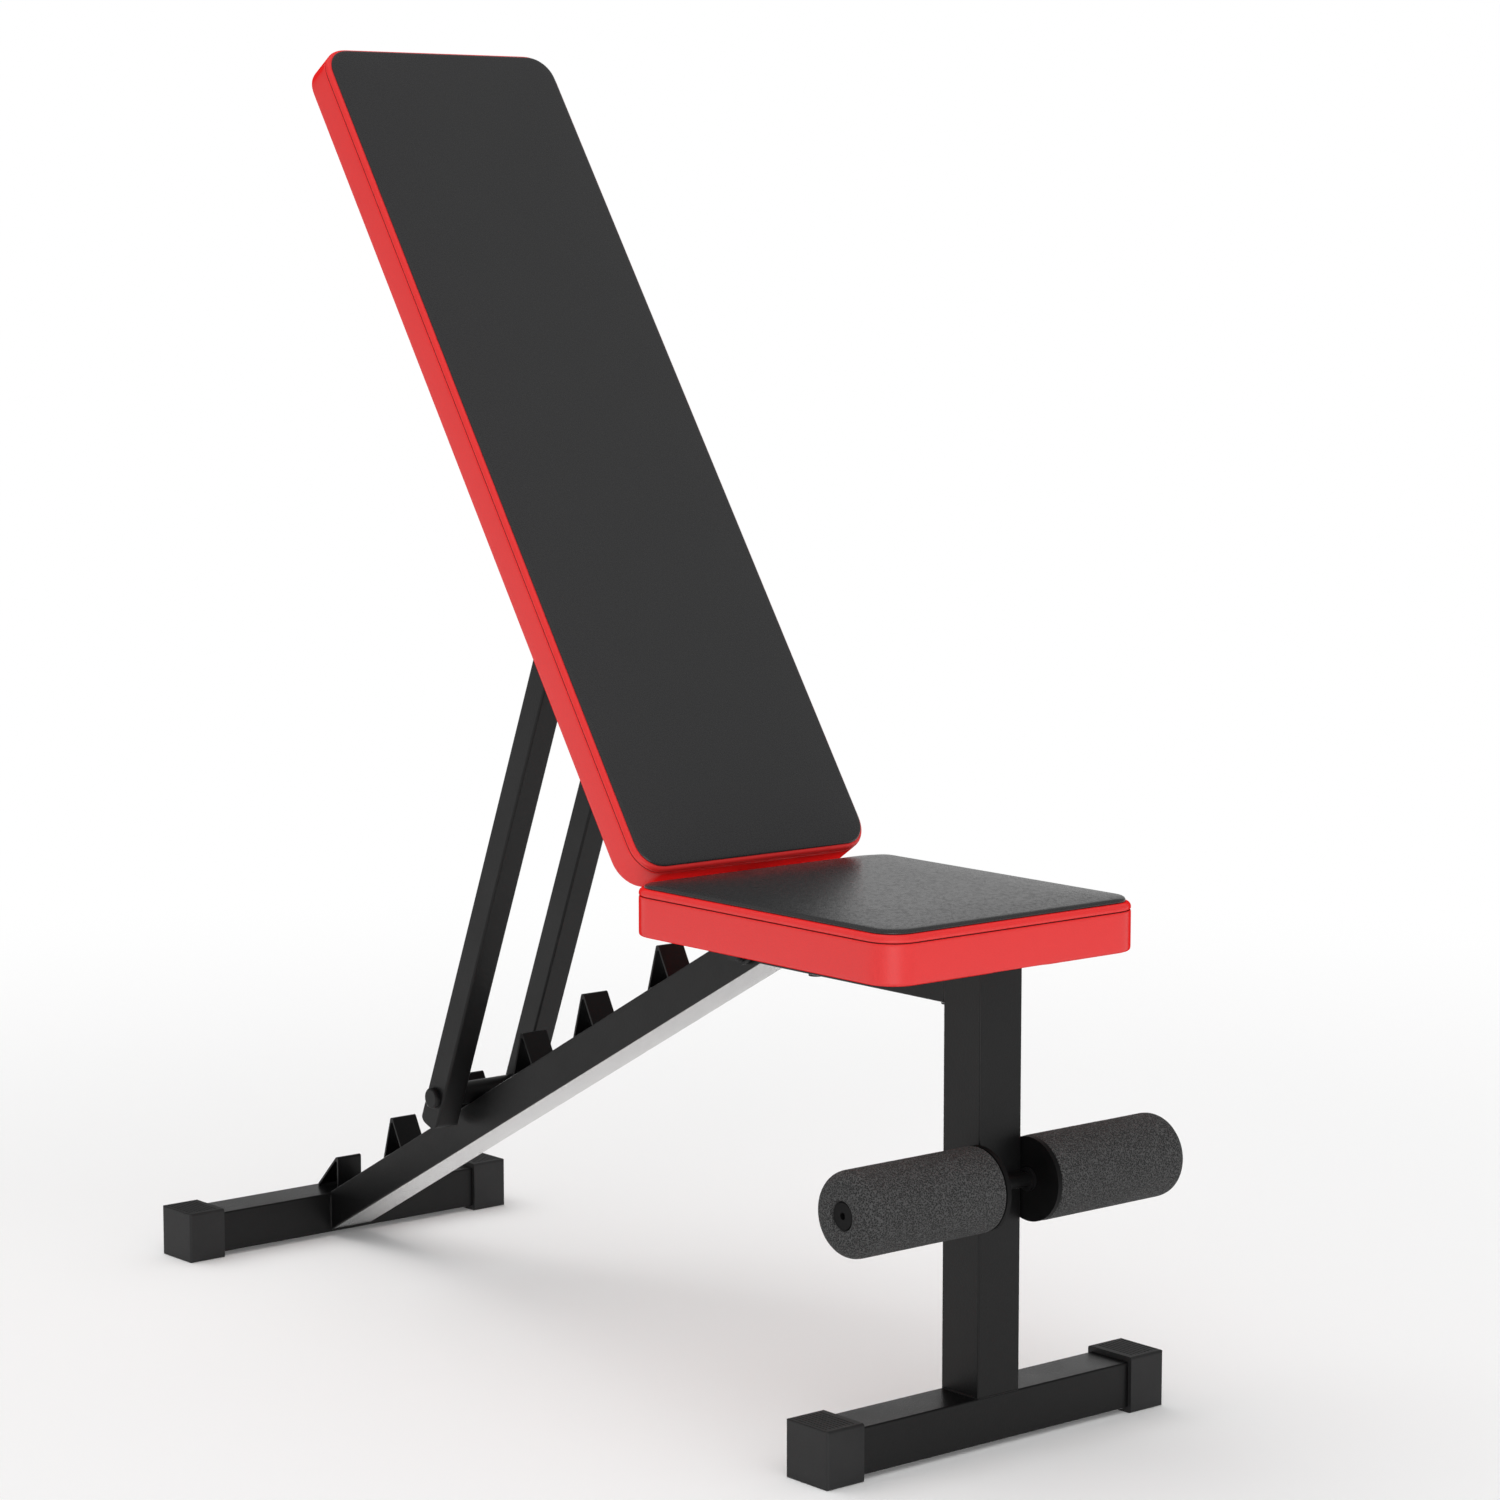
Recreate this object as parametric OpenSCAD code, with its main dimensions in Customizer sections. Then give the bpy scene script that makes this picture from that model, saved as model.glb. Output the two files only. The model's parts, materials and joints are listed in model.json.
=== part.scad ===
// Adjustable weight bench: a welded tube frame, a seat, a backrest on a pivot, a ladder
// support that stands on a row of stops, and two foam leg rollers.
// Millimetres. X runs from the rear foot to the front foot, Z is up, and the floor is Z = 0.
// The origin is under the middle of the whole bench.

/* [Frame] */
// Distance between the centres of the front foot tube and the rear foot tube
foot_spacing = 955; // [880:5:1100]
// Length of each foot across the bench, over its two rubber caps
foot_length = 382; // [320:2:460]
// Height of the seat beam's top face above the floor
beam_top = 406.5; // [380:0.5:450]
// Width of the square and flat tubes across the bench
tube_width = 47; // [42:0.5:48]
// Depth of the front post, front to rear
post_depth = 45; // [40:1:50]
// Height of the flat tube that makes the seat beam and the sloping spine
beam_depth = 35; // [30:1:40]
// Wall thickness of the frame tubes
tube_wall = 2; // [1.5:0.25:3]
// Outside corner radius of the frame tubes
tube_corner = 1.5; // [1:0.5:5]
// How far the spine's top face stands above the rear foot tube where the two meet
spine_lift = 2.2; // [0:0.2:4]

/* [Feet] */
// Width of a foot tube, front to rear
foot_tube_width = 45; // [40:1:50]
// Height of a foot tube
foot_tube_height = 40; // [30:1:50]
// Thickness of a cap's rubber under and over the tube
cap_sole = 4.6; // [3:0.1:7]
// Thickness of a cap's rubber in front of and behind the tube
cap_side = 3.8; // [3:0.1:6]
// Thickness of a cap's closed end
cap_end = 4.2; // [3:0.1:8]
// Length of a cap along the foot
cap_length = 39; // [25:1:60]
// Outside corner radius of a cap
cap_corner = 2.5; // [1.5:0.5:7]
// Distance between the fine grooves across the top of a cap
groove_pitch = 4; // [3:0.5:6]
// Depth of those grooves
groove_depth = 0.4; // [0.2:0.1:1]

/* [Stops] */
// Width of each bent stop across the spine
stop_width = 28; // [20:1:40]
// Thickness of the steel that the stops are bent from
stop_plate = 2; // [1.5:0.25:2.5]
// Outside radius of the bend at the top of a stop
stop_bend = 2.5; // [2.5:0.25:4]
// Height of the upright plate of stops 2 to 6
stop_height = 34; // [26:1:38]
// Slope of a stop's rear plate, measured from its base
stop_slope = 45; // [42:1:50]
// Height of stop 1 above the rear foot tube
stop_1_height = 35; // [32:1:38]
// Length of stop 1 from its upright face to its rear lip
stop_1_reach = 36; // [34:0.5:37]
// How far the upright face of stop 1 is set back from the foot tube's front face
stop_1_setback = 0.5; // [0:0.25:2]
// Distance up the spine from the rear foot tube to stop 2's upright face
stop_2_at = 127.6; // [110:0.2:150]
// Distance up the spine from the rear foot tube to stop 3's upright face
stop_3_at = 258.2; // [240:0.2:275]
// Distance up the spine from the rear foot tube to stop 4's upright face
stop_4_at = 374.4; // [365:0.2:395]
// Distance up the spine from the rear foot tube to stop 5's upright face
stop_5_at = 482.2; // [465:0.2:500]
// Distance up the spine from the rear foot tube to stop 6's upright face
stop_6_at = 609.1; // [585:0.2:620]

/* [Seat] */
// Length of the seat, front to rear
seat_length = 340; // [300:2:390]
// Width of the seat
seat_width = 286; // [240:0.5:330]
// Height of the seat, from the frame to its top
seat_height = 42; // [36:1:46]
// How far the seat reaches in front of the front foot's centre
seat_front = 44.5; // [30:0.5:55]
// Distance between the two bolts that hold the seat
seat_bolt_spacing = 170; // [120:5:190]
// How far in front of the seat's rear end the spine bends into the seat beam
bend_under_seat = 26.2; // [20:0.2:40]

/* [Backrest] */
// Angle of the backrest above the horizontal
backrest_angle = 56.3; // [52:0.1:60]
// Length of the backrest
backrest_length = 860; // [700:5:1040]
// Width of the backrest
backrest_width = 263; // [215:0.5:310]
// Thickness of the backrest, board and foam together
backrest_thickness = 36; // [30:1:38]
// Distance from the pivot, along the rail, to the backrest's lower end
backrest_start = 69; // [68:0.5:90]
// How far in front of the seat's rear end the backrest pivots on the spine
pivot_under_seat = 17; // [12:0.5:20]
// How far the backrest rail's front face lies in front of the pivot
rail_front = 1.8; // [0:0.2:4]
// Depth of the backrest rail
rail_depth = 25; // [22:1:28]
// Wall thickness of the backrest rail
rail_wall = 2; // [1.5:0.25:2.5]
// Distance from the pivot to the rail's lower end
rail_start = 70; // [66:1:80]
// Distance from the pivot to the rail's upper end
rail_end = 535; // [500:5:700]
// Distance from the pivot to the first bolt that holds the backrest
backrest_bolt_1 = 125; // [110:5:150]
// Distance from the pivot to the second bolt that holds the backrest
backrest_bolt_2 = 290; // [220:5:320]
// Distance from the pivot to the third bolt that holds the backrest
backrest_bolt_3 = 475; // [430:5:485]

/* [Padding] */
// Corner radius of the seat and the backrest
pad_corner = 27; // [20:1:40]
// Radius of the rounded edge round the top of each pad
pad_edge = 9; // [5:0.5:12]
// Thickness of the plywood boards under the foam
board_thickness = 12; // [9:0.5:15]
// How far the cover and foam stand out past the board's edge
pad_wrap = 5; // [3:0.5:8]

/* [Support] */
// Distance from the pivot up the rail to the support's hinge
hinge_distance = 378; // [360:1:400]
// Width and depth of the support's two square legs
leg_size = 26; // [22:1:28]
// Wall thickness of the support's legs
leg_wall = 2; // [1.5:0.25:2.5]
// Outside corner radius of those legs
leg_corner = 2; // [1:0.5:4]
// Gap between each side of the spine and the leg beside it
leg_clearance = 9; // [8:0.5:16]
// How far each leg reaches below the centre of the support bar
leg_below = 31; // [24:1:38]
// Radius of the two corners of a leg's lower end
leg_foot_corner = 8; // [3:0.5:10]
// How far below the hinge the round of each leg's top end is centred
leg_top_setback = 2; // [1.5:0.25:4]
// Diameter of the bar that stands on the spine behind a stop
bar_diameter = 22; // [18:1:26]
// Gap left between the bar and the spine, and between the bar and its stop
bar_gap = 0.3; // [0.2:0.05:0.5]
// Diameter of the round heads on the ends of the bar's bolt
bar_head_diameter = 20; // [16:1:24]
// Height of those round heads
bar_head_height = 5; // [4:0.2:9]

/* [Rollers] */
// Height of the rollers' axle above the floor
roller_height = 224.6; // [160:0.2:300]
// Diameter of the foam rollers
roller_diameter = 72; // [60:1:90]
// Gap between each side of the post and the inner end of its roller
roller_gap = 7.5; // [7:0.5:12]
// Distance from the middle of the bench to the outer end of each roller
roller_outer = 180; // [150:1:216]
// Radius of the rounded edge at a roller's outer end
roller_edge = 12; // [6:0.5:16]
// Diameter of the steel axle
axle_diameter = 12; // [10:1:16]
// Thickness of the disc at a roller's inner end
disc_thickness = 4.5; // [2:0.25:5]
// How much smaller than the foam the disc is, measured on the radius
disc_inset = 0.3; // [0.2:0.1:2]
// Wall thickness of the tube inside a roller
sleeve_wall = 5; // [4:0.5:6]
// How far the end plug sits inside the roller's outer end
plug_recess = 2; // [1:0.5:4]
// Length of the end plug
plug_length = 10; // [8:0.5:14]
// Diameter of the hole in the middle of the end plug
plug_hole = 6; // [4:0.5:8]

/* [Pivots and bolts] */
// Diameter of the pivot bolt, the hinge bolt and the bar's bolt
pin_diameter = 10; // [8:0.5:10.5]
// Gap all round between a bolt and the bushes that turn on it
running_gap = 0.08; // [0.02:0.01:0.09]
// Gap all round a bolt where it passes through fixed steel
bolt_gap = 0.2; // [0.1:0.05:0.4]
// Wall thickness of the bushes in the rail
bush_wall = 2; // [1.5:0.25:2.5]
// Thickness of the flange on each bush
bush_flange = 2.2; // [1.5:0.1:2.3]
// Gap between a bush's flange and the piece it faces
side_gap = 0.3; // [0.2:0.05:0.5]
// Thickness of the two plates that carry the backrest rail on its pivot
arm_plate = 5; // [4:0.5:6]
// Radius of those plates round the pivot bolt
arm_radius = 13; // [12:0.5:15]
// How far those plates reach up the rail's sides
arm_overlap = 42; // [30:1:60]
// Width of the hexagon heads and nuts on the pivot and hinge bolts, across their corners
hex_width = 18.5; // [16:0.5:20]
// Height of those heads and nuts
hex_height = 6.4; // [5:0.2:8]
// Thickness of the washers under them
washer = 1.6; // [1:0.2:2.5]
// Diameter of the bolts that hold the seat and the backrest
pad_bolt = 8; // [6:0.5:8]
// Diameter of the heads of those bolts
pad_bolt_head = 14; // [12:0.5:16]

/* [Hidden] */
$fn = 48;

black_steel = [0.16, 0.16, 0.17];
black_rubber = [0.2, 0.2, 0.2];
plated_black = [0.13, 0.13, 0.14];
cover_red = [0.85, 0.24, 0.24];
foam_grey = [0.17, 0.17, 0.18];
ply_wood = [0.72, 0.55, 0.36];
white_nylon = [0.8, 0.8, 0.78];

// Heights of the feet.
foot_bottom = cap_sole;
foot_top = cap_sole + foot_tube_height;

// The front foot's centre is X = 0 while the bench is drawn, and the whole is then moved.
rear_x = -foot_spacing;
post_front = post_depth / 2;
post_rear = -post_depth / 2;
axle_x = post_front + axle_diameter / 2;
cap_half = foot_tube_width / 2 + cap_side;
front_end = max(axle_x + roller_diameter / 2, cap_half, seat_front);
rear_end = rear_x - cap_half;
frame_x = -(front_end + rear_end) / 2;

// The seat's rear end fixes the bend between the beam and the spine, and the pivot on the
// spine's middle line just behind the bend.
seat_rear = seat_front - seat_length;
bend_x = seat_rear + bend_under_seat;
pivot_x = seat_rear + pivot_under_seat;
spine_rear = rear_x + foot_tube_width / 2;
spine_base = foot_top + spine_lift;
spine_rise = beam_top - spine_base;
spine_run = bend_x - spine_rear;
spine_angle = atan2(spine_rise, spine_run);
spine_length = norm([spine_run, spine_rise]);
mitre = tan(spine_angle / 2);
pivot_z = spine_base + (pivot_x - spine_rear) * tan(spine_angle) - beam_depth / 2 / cos(spine_angle);

// Lean of the backrest from the vertical, the middle of its rail, and the hinge on that rail.
lean = 90 - backrest_angle;
rail_mid = rail_front - rail_depth / 2;
hinge_x = pivot_x - hinge_distance * sin(lean) + rail_mid * cos(lean);
hinge_z = pivot_z + hinge_distance * cos(lean) + rail_mid * sin(lean);

// The support bar stands on the spine, against the upright face of stop 3.
bar_r = bar_diameter / 2;
bar_s = stop_3_at + bar_r + bar_gap;
bar_h = bar_r + bar_gap;
bar_x = spine_rear + bar_s * cos(spine_angle) - bar_h * sin(spine_angle);
bar_z = spine_base + bar_s * sin(spine_angle) + bar_h * cos(spine_angle);
leg_lean = atan2(hinge_x - bar_x, hinge_z - bar_z);
leg_span = norm([hinge_x - bar_x, hinge_z - bar_z]);

pin_r = pin_diameter / 2;
hole_r = pin_r + bolt_gap;
bush_bore = pin_r + running_gap;
bush_r = bush_bore + bush_wall;
flange_r = bush_r + 2.5;
rail_half = tube_width / 2 + side_gap + bush_flange;
rail_width = 2 * rail_half;
arm_outer = rail_half + arm_plate;
leg_inner = tube_width / 2 + leg_clearance;
leg_outer = leg_inner + leg_size;
bolt_r = pad_bolt / 2;
nut_r = bolt_r + 1.6;
nut_flange = nut_r + 3.5;
axle_r = axle_diameter / 2;
sleeve_bore = axle_r + running_gap;
sleeve_r = sleeve_bore + sleeve_wall;
roller_inner = tube_width / 2 + roller_gap;
disc_inner = roller_inner - disc_thickness;
plug_end = roller_outer - plug_recess;
plug_start = plug_end - plug_length;
ring_length = 2;
sleeve_end = plug_start - ring_length;
axle_end = plug_start + 2;
seat_mid = (seat_front + seat_rear) / 2;

// Places the bench over its origin.
module bench() translate([frame_x, 0, 0]) children();

// Up the spine: X along its top face from the rear foot, Z square to that face.
module on_spine() bench() translate([spine_rear, 0, spine_base]) rotate([0, -spine_angle, 0]) children();

// Up the backrest: Z along the rail from the pivot, X square to it, towards the front.
module on_backrest() bench() translate([pivot_x, 0, pivot_z]) rotate([0, -lean, 0]) children();
module on_rail() on_backrest() translate([rail_mid, 0, 0]) children();

// Up the support: Z from the bar's centre to the hinge, X square to the legs.
module on_support() bench() translate([bar_x, 0, bar_z]) rotate([0, leg_lean, 0]) children();

module at_rollers() bench() translate([axle_x, 0, roller_height]) children();

// A flat shape in the X-Z plane, made w wide across the bench and centred on it.
module across(w) rotate([90, 0, 0]) linear_extrude(height = w, center = true) children();

// A round bar or bore across the bench, from y0 to y1.
module rod(r, y0, y1) translate([0, y1, 0]) rotate([90, 0, 0]) cylinder(r = r, h = y1 - y0);

module ring(r_out, r_in, y0, y1) difference() {
    rod(r_out, y0, y1);
    rod(r_in, y0 - 1, y1 + 1);
}

// Both copies of a piece that has a mirror image on the other side of the bench.
module both_sides() {
    children();
    mirror([0, 1, 0]) children();
}

module round_rect(w, h, r) {
    square([w - 2 * r, h], center = true);
    square([w, h - 2 * r], center = true);
    for (x = [r - w / 2, w / 2 - r])
        for (y = [r - h / 2, h / 2 - r])
            translate([x, y]) circle(r = r);
}

module tube_section(w, h, r, wall) difference() {
    round_rect(w, h, r);
    round_rect(w - 2 * wall, h - 2 * wall, max(r - wall, 0.5));
}

// ---------------------------------------------------------------- feet

module foot_tube() {
    tube_length = foot_length - 2 * cap_end;
    translate([0, 0, foot_bottom + foot_tube_height / 2])
        across(tube_length)
        tube_section(foot_tube_width, foot_tube_height, tube_corner, tube_wall);
}

// One cap, drawn for the +Y end of a foot.
module foot_cap() {
    outer_w = foot_tube_width + 2 * cap_side;
    outer_h = foot_tube_height + 2 * cap_sole;
    y_end = foot_length / 2;
    difference() {
        intersection() {
            translate([0, y_end - cap_length / 2, outer_h / 2]) across(cap_length)
                round_rect(outer_w, outer_h, cap_corner);
            translate([0, y_end - cap_length, 0]) linear_extrude(height = outer_h)
                round_rect(outer_w, 2 * cap_length, cap_corner);
            translate([0, y_end - cap_length, outer_h / 2]) rotate([90, 0, 90])
                linear_extrude(height = outer_w, center = true)
                round_rect(2 * cap_length, outer_h, cap_corner / 2);
        }
        translate([0, y_end - cap_end - cap_length, outer_h / 2])
            across(2 * cap_length)
            round_rect(foot_tube_width, foot_tube_height, tube_corner);
        for (y = [1 : floor(cap_length / groove_pitch) - 1])
            translate([0, y_end - y * groove_pitch, outer_h])
                cube([foot_tube_width - 3, groove_pitch / 3, 2 * groove_depth], center = true);
    }
}

module at_rear() bench() translate([rear_x, 0, 0]) children();

module rear_foot_tube() color(black_steel) at_rear() foot_tube();
module front_foot_tube() color(black_steel) bench() foot_tube();
module rear_cap_left() color(black_rubber) at_rear() foot_cap();
module rear_cap_right() color(black_rubber) at_rear() mirror([0, 1, 0]) foot_cap();
module front_cap_left() color(black_rubber) bench() foot_cap();
module front_cap_right() color(black_rubber) bench() mirror([0, 1, 0]) foot_cap();

// ---------------------------------------------------------------- frame tubes

module front_post() color(black_steel) bench()
    translate([0, 0, foot_top]) linear_extrude(height = beam_top - foot_top)
    tube_section(post_depth, tube_width, tube_corner, tube_wall);

module beam_section() tube_section(tube_width, beam_depth, tube_corner, tube_wall);

module seat_beam() color(black_steel) bench() difference() {
    intersection() {
        translate([bend_x - 60, 0, beam_top - beam_depth / 2]) rotate([90, 0, 90])
            linear_extrude(height = post_rear - bend_x + 60) beam_section();
        across(2 * tube_width) polygon([
            [bend_x - 60 * mitre, beam_top + 60],
            [bend_x + 60 * mitre, beam_top - 60],
            [post_rear, beam_top - 60],
            [post_rear, beam_top + 60]]);
    }
    for (x = [-0.5, 0.5])
        translate([seat_mid + x * seat_bolt_spacing, 0, beam_top - beam_depth - 1])
            cylinder(r = bolt_r + bolt_gap, h = beam_depth + 2);
}

module spine_tube() color(black_steel) difference() {
    intersection() {
        on_spine() translate([-60, 0, -beam_depth / 2]) rotate([90, 0, 90])
            linear_extrude(height = spine_length + 120) beam_section();
        bench() across(2 * tube_width) polygon([
            [bend_x - 60 * mitre, beam_top + 60],
            [bend_x + (beam_top + 60) * mitre, -60],
            [spine_rear, -60],
            [spine_rear, beam_top + 60]]);
    }
    bench() translate([pivot_x, 0, pivot_z]) rod(hole_r, -tube_width, tube_width);
}

// ---------------------------------------------------------------- stops

// Side view of a bent stop: the upright face is X = 0 and its foot is Y = 0. With a short enough
// reach, the sloping plate is cut off there and stands on a short upright lip.
module stop_profile(height, reach) {
    bend_z = height - stop_bend;
    slope_end = bend_z + stop_bend * cos(stop_slope)
        - (reach - stop_bend - stop_bend * sin(stop_slope)) * tan(stop_slope);
    translate([-stop_plate, 0]) square([stop_plate, bend_z]);
    translate([-stop_bend, bend_z]) circle(r = stop_bend);
    intersection() {
        translate([-stop_bend, bend_z]) rotate(90 + stop_slope)
            translate([stop_bend - stop_plate, 0]) square([stop_plate, 3 * height]);
        translate([-reach, 0]) square([2 * reach, 2 * height]);
    }
    if (slope_end > 0)
        translate([-reach, 0]) square([stop_plate, slope_end - stop_plate / 5]);
}

module spine_stop(place) color(black_steel) on_spine()
    translate([place, 0, 0]) across(stop_width) stop_profile(stop_height, 3 * stop_height);

module stop_1() color(black_steel) bench()
    translate([spine_rear - stop_1_setback, 0, foot_top]) across(stop_width)
    stop_profile(stop_1_height, stop_1_reach);
module stop_2() spine_stop(stop_2_at);
module stop_3() spine_stop(stop_3_at);
module stop_4() spine_stop(stop_4_at);
module stop_5() spine_stop(stop_5_at);
module stop_6() spine_stop(stop_6_at);

// ---------------------------------------------------------------- bolts

// A hexagon head or nut with its washer, from y outwards, drawn for the +Y side.
module hex_end(y) {
    rod(hex_width / 2 + 1, y, y + washer);
    translate([0, y + washer + hex_height, 0]) rotate([90, 0, 0])
        cylinder(r = hex_width / 2, h = hex_height, $fn = 6);
}

// A bolt across the bench: its hexagon head is outside -y, and its thread ends in the nut.
module cross_bolt(y) {
    rod(pin_r, -y - 1, y + washer + hex_height + 2);
    mirror([0, 1, 0]) hex_end(y);
}

module cross_nut(y) difference() {
    hex_end(y);
    rod(pin_r, y - 1, y + washer + hex_height + 1);
}

module pivot_bolt() color(plated_black) bench() translate([pivot_x, 0, pivot_z])
    cross_bolt(arm_outer + side_gap);
module pivot_nut() color(plated_black) bench() translate([pivot_x, 0, pivot_z])
    cross_nut(arm_outer + side_gap);

// ---------------------------------------------------------------- padding

// A pad lying flat, its underside on Z = 0 and centred in plan, hollowed for its board.
module pad(l, w, h) difference() {
    intersection() {
        linear_extrude(height = h) round_rect(l, w, pad_corner);
        translate([0, 0, -h / 2]) across(w + 2) round_rect(l, 3 * h, pad_edge);
        translate([0, 0, -h / 2]) rotate([90, 0, 90]) linear_extrude(height = l + 2, center = true)
            round_rect(w, 3 * h, pad_edge);
    }
    translate([0, 0, -1]) linear_extrude(height = board_thickness + 1)
        round_rect(l - 2 * pad_wrap, w - 2 * pad_wrap, pad_corner - pad_wrap);
}

// A pad's board, drilled and counterbored for its tee nuts at each X of a list.
module board(l, w, places) difference() {
    linear_extrude(height = board_thickness)
        round_rect(l - 2 * pad_wrap, w - 2 * pad_wrap, pad_corner - pad_wrap);
    for (x = places) translate([x, 0, 0]) {
        translate([0, 0, -1]) cylinder(r = nut_r, h = board_thickness + 2);
        translate([0, 0, board_thickness - 1.6]) cylinder(r = nut_flange, h = 3);
    }
}

module tee_nut() difference() {
    union() {
        translate([0, 0, 1]) cylinder(r = nut_r, h = board_thickness - 1);
        translate([0, 0, board_thickness - 1.6]) cylinder(r = nut_flange, h = 1.6);
    }
    cylinder(r = bolt_r, h = board_thickness + 1);
}

// A bolt that rises through a tube of the given depth into a tee nut, its head under the tube.
module pad_bolt_up(depth) {
    translate([0, 0, -depth]) cylinder(r = bolt_r, h = depth + board_thickness - 2);
    translate([0, 0, -depth - washer]) cylinder(r = pad_bolt_head / 2 + 2, h = washer);
    translate([0, 0, -depth - washer - 4.4]) cylinder(r = pad_bolt_head / 2, h = 4.4);
}

module on_seat() bench() translate([seat_mid, 0, beam_top]) children();
seat_places = [-seat_bolt_spacing / 2, seat_bolt_spacing / 2];

module seat_board() color(ply_wood) on_seat() board(seat_length, seat_width, seat_places);
module seat_pad() color(cover_red) on_seat() pad(seat_length, seat_width, seat_height);
module seat_tee_nuts() color(plated_black) on_seat()
    for (x = seat_places) translate([x, 0, 0]) tee_nut();
module seat_bolts() color(plated_black) on_seat()
    for (x = seat_places) translate([x, 0, 0]) pad_bolt_up(beam_depth);

// The backrest's pad and board lie on the rail's front face, with X down the backrest.
backrest_mid = backrest_start + backrest_length / 2;
backrest_bolt_places = [backrest_bolt_1, backrest_bolt_2, backrest_bolt_3];
backrest_places = [for (z = backrest_bolt_places) backrest_mid - z];
module on_backrest_face() on_backrest()
    translate([rail_front, 0, backrest_mid]) rotate([0, 90, 0]) children();

module backrest_board() color(ply_wood) on_backrest_face()
    board(backrest_length, backrest_width, backrest_places);
module backrest_pad() color(cover_red) on_backrest_face()
    pad(backrest_length, backrest_width, backrest_thickness);
module backrest_tee_nuts() color(plated_black) on_backrest_face()
    for (x = backrest_places) translate([x, 0, 0]) tee_nut();
module backrest_bolts() color(plated_black) on_backrest_face()
    for (x = backrest_places) translate([x, 0, 0]) pad_bolt_up(rail_depth);

// ---------------------------------------------------------------- backrest rail

module backrest_rail() color(black_steel) on_rail() difference() {
    translate([0, 0, rail_start]) linear_extrude(height = rail_end - rail_start)
        tube_section(rail_depth, rail_width, 3, rail_wall);
    translate([0, 0, hinge_distance]) rod(bush_r, -rail_width, rail_width);
    for (z = backrest_bolt_places)
        translate([-rail_depth, 0, z]) rotate([0, 90, 0]) cylinder(r = bolt_r + bolt_gap, h = 2 * rail_depth);
}

// A cap with a hollow stem that closes one end of the rail.
module end_plug() {
    linear_extrude(height = 3) round_rect(rail_depth, rail_width, 3);
    translate([0, 0, -14]) linear_extrude(height = 14)
        tube_section(rail_depth - 2 * rail_wall, rail_width - 2 * rail_wall, 1, 2);
}

module rail_end_plug() color(black_rubber) on_rail() {
    translate([0, 0, rail_end]) end_plug();
    translate([0, 0, rail_start]) mirror([0, 0, 1]) end_plug();
}

// Side view of a pivot ear, in the backrest's directions with the pivot at the origin. It
// passes behind the seat's rear end on its way up to the rail.
module arm_profile() {
    rear = rail_front - rail_depth;
    top = rail_start + arm_overlap;
    circle(r = arm_radius);
    polygon([[arm_radius * cos(30), arm_radius * sin(30)], [arm_radius * cos(60), arm_radius * sin(60)],
        [-18, 28], [-7, rail_start - 6], [-4, rail_start + 4], [-4, top - 8], [-10, top], [rear + 6, top],
        [rear + 1, top - 8], [rear - 3, rail_start - 6], [-36, 30], [-arm_radius, 0], [0, -arm_radius]]);
}

// One ear, welded to the +Y side of the rail and reaching down beside the spine.
module pivot_ear() on_backrest() difference() {
    translate([0, rail_half + arm_plate / 2, 0]) across(arm_plate) arm_profile();
    rod(bush_r, 0, 2 * arm_outer);
}

module pivot_ear_left() color(black_steel) pivot_ear();
module pivot_ear_right() color(black_steel) mirror([0, 1, 0]) pivot_ear();

// A pair of bushes that fill walls of the given thickness, from y outwards. The flange is
// outside the wall, or inside it with inward set.
module bushes(y, wall, inward = false) both_sides() difference() {
    union() {
        rod(bush_r, y, y + wall);
        if (inward) rod(flange_r, y - bush_flange, y);
        else rod(flange_r, y + wall, y + wall + bush_flange);
    }
    rod(bush_bore, y - 2 * bush_flange, y + wall + 2 * bush_flange);
}

module pivot_bushes() color(white_nylon) on_backrest() bushes(rail_half, arm_plate, inward = true);
module hinge_bushes() color(white_nylon) on_rail() translate([0, 0, hinge_distance])
    bushes(rail_half - rail_wall, rail_wall);

// ---------------------------------------------------------------- support

// One leg on the +Y side: a square tube with a round top end and two rounded lower corners.
module support_leg() {
    half = leg_size / 2;
    difference() {
        intersection() {
            translate([0, leg_inner + half, -leg_below - 1])
                linear_extrude(height = leg_span + leg_below + leg_size)
                tube_section(leg_size, leg_size, leg_corner, leg_wall);
            translate([0, leg_inner + half, 0]) across(leg_size + 2) union() {
                translate([0, leg_span - leg_top_setback]) circle(r = half);
                translate([-half, leg_foot_corner - leg_below])
                    square([leg_size, leg_span - leg_top_setback + leg_below - leg_foot_corner]);
                translate([leg_foot_corner - half, -leg_below])
                    square([leg_size - 2 * leg_foot_corner, leg_below]);
                for (x = [leg_foot_corner - half, half - leg_foot_corner])
                    translate([x, leg_foot_corner - leg_below]) circle(r = leg_foot_corner);
            }
        }
        rod(hole_r, 0, 2 * leg_outer);
        translate([0, 0, leg_span]) rod(hole_r, 0, 2 * leg_outer);
    }
}

module support_leg_left() color(black_steel) on_support() support_leg();
module support_leg_right() color(black_steel) on_support() mirror([0, 1, 0]) support_leg();
module support_bar() color(black_steel) on_support() ring(bar_r, hole_r, -leg_inner, leg_inner);

// A round head with a softened edge, from y outwards, drawn for the +Y side.
module round_head(y) translate([0, y, 0]) rotate([-90, 0, 0]) rotate_extrude() {
    square([bar_head_diameter / 2 - 2, bar_head_height]);
    square([bar_head_diameter / 2, bar_head_height - 2]);
    translate([bar_head_diameter / 2 - 2, bar_head_height - 2]) circle(r = 2);
}

module bar_bolt() color(black_steel) on_support() {
    rod(pin_r, -leg_outer - 1, leg_outer + bar_head_height / 2);
    mirror([0, 1, 0]) round_head(leg_outer);
}

module bar_cap_nut() color(black_steel) on_support() difference() {
    round_head(leg_outer);
    rod(pin_r, leg_outer - 1, leg_outer + bar_head_height / 2);
}

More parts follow.
